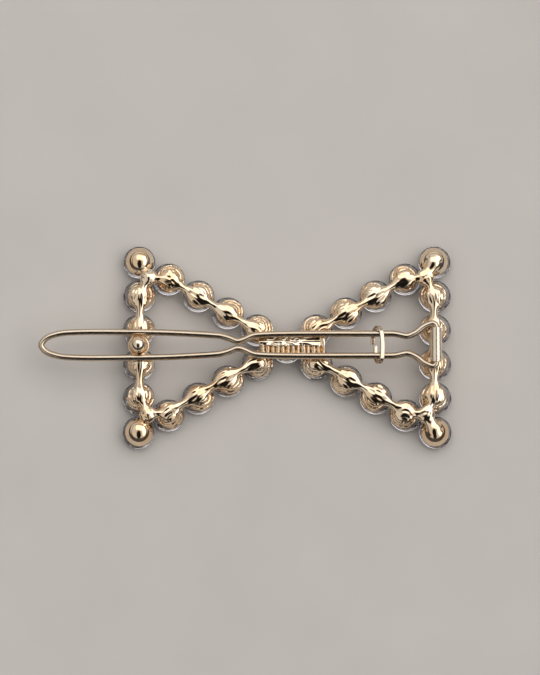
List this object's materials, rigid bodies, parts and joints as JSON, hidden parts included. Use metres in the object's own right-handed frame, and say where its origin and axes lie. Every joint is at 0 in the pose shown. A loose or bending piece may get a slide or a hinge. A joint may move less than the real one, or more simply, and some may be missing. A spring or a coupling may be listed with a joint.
{
  "type": "rhinestone hair clip",
  "caption": "Bow-shaped hair clip: two loops of gold-plated stone cups set with round rhinestones, and a hinged wire pin.",
  "frame": {"origin": "centre of the knot stone's table, on the face that the clip lies on", "axes": "+X from the knot towards the hinge tube, +Y along the stone columns, +Z from the stones towards the pin"},
  "size_m": [0.0632, 0.0312, 0.0063],
  "materials": {
    "gold_plate": "mirror polished, pale gold plating",
    "crystal": "clear, faceted, foiled at the back"
  },
  "bodies": {
    "frame": {"catch_loop_casting": "gold_plate", "hinge_loop_casting": "gold_plate", "knot_cup": "gold_plate", "bridge_bar": "gold_plate", "hinge_tube": "gold_plate", "catch_ball": "gold_plate", "stone_knot": "crystal", "stone_catch_01": "crystal", "stone_catch_02": "crystal", "stone_catch_03": "crystal", "stone_catch_04": "crystal", "stone_catch_05": "crystal", "stone_catch_06": "crystal", "stone_catch_07": "crystal", "stone_catch_08": "crystal", "stone_catch_09": "crystal", "stone_catch_10": "crystal", "stone_catch_11": "crystal", "stone_catch_12": "crystal", "stone_catch_13": "crystal", "stone_catch_14": "crystal", "stone_hinge_01": "crystal", "stone_hinge_02": "crystal", "stone_hinge_03": "crystal", "stone_hinge_04": "crystal", "stone_hinge_05": "crystal", "stone_hinge_06": "crystal", "stone_hinge_07": "crystal", "stone_hinge_08": "crystal", "stone_hinge_09": "crystal", "stone_hinge_10": "crystal", "stone_hinge_11": "crystal", "stone_hinge_12": "crystal", "stone_hinge_13": "crystal", "stone_hinge_14": "crystal"},
    "pin": {"pin_wire": "gold_plate"},
    "keeper": {"keeper_band": "gold_plate"}
  },
  "joints": [
    {"name": "pin_hinge", "type": "hinge", "parent": "frame", "child": "pin", "pos_m": [0.02273, 0, 0.00477], "axis": [0, 1, 0], "range_deg": [0, 175]},
    {"name": "keeper_slide", "type": "slide", "parent": "pin", "child": "keeper", "axis": [1, 0, 0.0075], "range_m": [-0.006, 0.004]}
  ]
}
